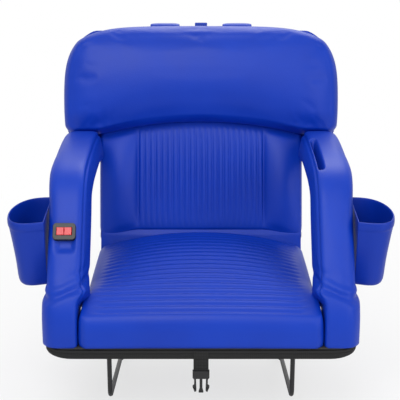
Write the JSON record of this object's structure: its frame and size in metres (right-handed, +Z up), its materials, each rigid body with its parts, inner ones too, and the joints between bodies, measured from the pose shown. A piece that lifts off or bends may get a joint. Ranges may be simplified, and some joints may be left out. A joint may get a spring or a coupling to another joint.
{
  "type": "reclining stadium seat",
  "caption": "Padded folding stadium seat with a reclining ribbed back, wide top bolster, soft arms, side cup pockets, heat control and bench hooks.",
  "frame": {"origin": "middle of the flat underside that rests on the bench, on the strip between the hook bays", "axes": "+Z up, -Y to the front of the seat, +X to the right as seen from the front"},
  "size_m": [0.656, 0.5933, 0.6147],
  "materials": {
    "blue_leatherette": "satin",
    "black_cloth": "matte",
    "foam": "matte",
    "steel_tube": "satin",
    "zinc_steel": "satin",
    "board": "matte",
    "black_plastic": "satin",
    "red_plastic": "gloss",
    "webbing": "matte",
    "blue_webbing": "matte",
    "rubber": "matte",
    "heating": "matte",
    "wire": "satin",
    "circuit": "satin"
  },
  "bodies": {
    "seat": {"base_cover": "black_cloth", "seat_frame": "steel_tube", "rear_cross_tube": "steel_tube", "frame_end_caps": "black_plastic", "seat_board": "board", "seat_cover": "blue_leatherette", "seat_foam": "foam", "seat_heating_mat": "heating", "seat_heating_wire": "wire", "right_hinge_bracket": "steel_tube", "left_hinge_bracket": "steel_tube", "right_hinge_pin": "zinc_steel", "left_hinge_pin": "zinc_steel", "pawl_pins": "zinc_steel", "rail_rivets": "zinc_steel", "pawl_springs": "zinc_steel", "hinge_flap": "blue_leatherette", "right_arm_cover": "blue_leatherette", "right_arm_foam": "foam", "phone_sleeve": "blue_leatherette", "controller_housing": "black_plastic", "left_arm_cover": "blue_leatherette", "left_arm_foam": "foam", "controller_board": "circuit", "controller_switches": "black_plastic", "right_cup_pocket": "blue_leatherette", "left_cup_pocket": "blue_leatherette", "hook_brackets": "black_plastic", "hook_bracket_screws": "zinc_steel", "strap_tab": "webbing"},
    "backrest": {"back_frame": "steel_tube", "back_board": "board", "back_foam": "foam", "back_cover": "blue_leatherette", "back_heating_mat": "heating", "back_heating_wire": "wire", "bolster_foam": "foam", "bolster_cover": "blue_leatherette", "rear_cover": "blue_leatherette", "right_ratchet_arm": "zinc_steel", "left_ratchet_arm": "zinc_steel", "right_shoulder_strap": "blue_leatherette", "left_shoulder_strap": "blue_leatherette", "rear_strap": "blue_webbing", "buckle_socket": "black_plastic"},
    "left_pawl": {"left_pawl": "zinc_steel"},
    "right_pawl": {"right_pawl": "zinc_steel"},
    "left_hook": {"left_bench_hook": "steel_tube", "left_hook_tip": "rubber"},
    "right_hook": {"right_bench_hook": "steel_tube", "right_hook_tip": "rubber"},
    "front_strap": {"front_strap": "webbing", "buckle_plug": "black_plastic"},
    "low_button": {"low_heat_button": "red_plastic"},
    "high_button": {"high_heat_button": "red_plastic"}
  },
  "joints": [
    {"name": "recline", "type": "hinge", "parent": "seat", "child": "backrest", "pos_m": [0, 0.206, 0.078], "axis": [-1, 0, 0], "range_deg": [-55, 30], "deforming": ["left_arm_cover", "left_arm_foam", "right_arm_cover", "right_arm_foam", "phone_sleeve", "hinge_flap"]},
    {"name": "left_hook_fold", "type": "hinge", "parent": "seat", "child": "left_hook", "pos_m": [-0.155, -0.1, 0.0103], "axis": [0, -1, 0], "range_deg": [0, 90]},
    {"name": "right_hook_fold", "type": "hinge", "parent": "seat", "child": "right_hook", "pos_m": [0.155, -0.1, 0.0103], "axis": [0, 1, 0], "range_deg": [0, 90]},
    {"name": "strap_swing", "type": "hinge", "parent": "seat", "child": "front_strap", "pos_m": [0, -0.2071, 0.002], "axis": [-1, 0, 0], "range_deg": [-15, 100]},
    {"name": "low_heat_press", "type": "slide", "parent": "seat", "child": "low_button", "axis": [0, 0.836, -0.5487], "range_m": [0, 0.0012], "stiffness_N_per_m": 900},
    {"name": "high_heat_press", "type": "slide", "parent": "seat", "child": "high_button", "axis": [0, 0.836, -0.5487], "range_m": [0, 0.0012], "stiffness_N_per_m": 900},
    {"name": "left_pawl_rock", "type": "hinge", "parent": "seat", "child": "left_pawl", "pos_m": [-0.19, 0.212, 0.042], "axis": [1, 0, 0], "range_deg": [0, 12], "stiffness_Nm_per_rad": 0.2},
    {"name": "right_pawl_rock", "type": "hinge", "parent": "seat", "child": "right_pawl", "pos_m": [0.19, 0.212, 0.042], "axis": [1, 0, 0], "range_deg": [0, 12], "stiffness_Nm_per_rad": 0.2}
  ]
}
